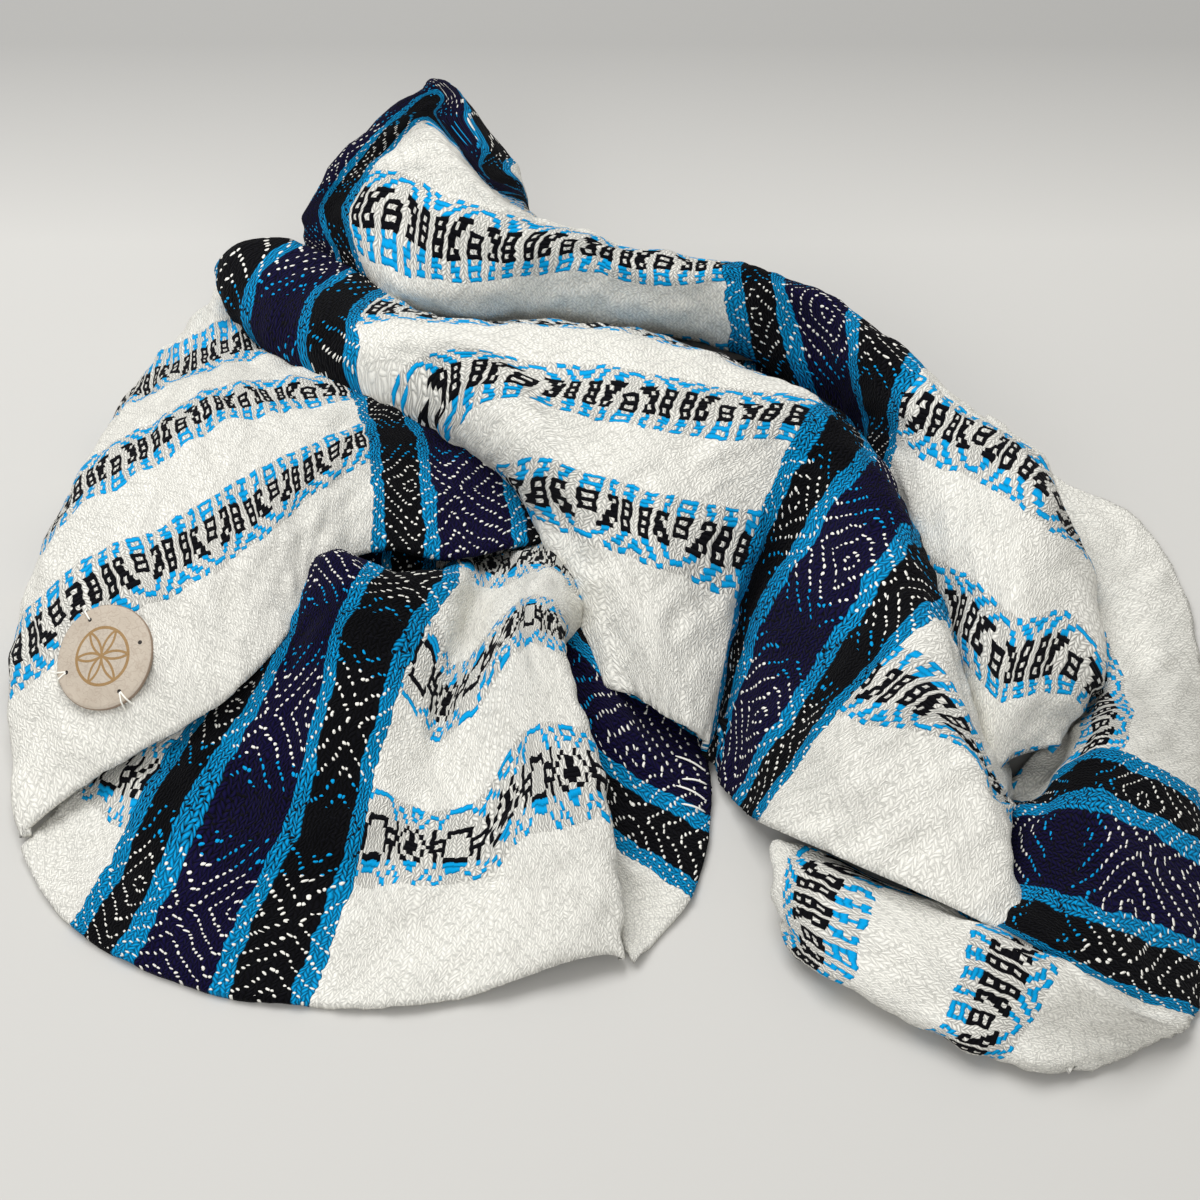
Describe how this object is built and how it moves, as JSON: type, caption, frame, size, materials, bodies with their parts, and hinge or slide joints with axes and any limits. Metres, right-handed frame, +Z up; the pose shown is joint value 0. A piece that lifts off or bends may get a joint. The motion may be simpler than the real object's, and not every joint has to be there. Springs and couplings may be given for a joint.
{
  "type": "cowl scarf",
  "caption": "Soft woven cowl scarf: a wide cloth tube dropped in a loose heap of folds, with striped bands, patterned rows and a small round leather label.",
  "frame": {"origin": "centre of the heap's footprint, on the table top", "axes": "+Z up from the table; the open mouth of the tube faces -Y and the label lies towards -X"},
  "size_m": [0.31, 0.301, 0.06],
  "materials": {
    "cloth": "soft matte handwoven cotton",
    "navy_band": "soft matte handwoven cotton",
    "leather": "smooth undyed vegetable-tanned leather"
  },
  "bodies": {
    "root": {"label_stretch": "cloth", "mouth": "cloth", "mouth_side": "navy_band", "middle_fold": "cloth", "back_ridge": "cloth", "right_lobe": "cloth", "folded_inside": "cloth", "leather_label": "leather"}
  },
  "joints": []
}
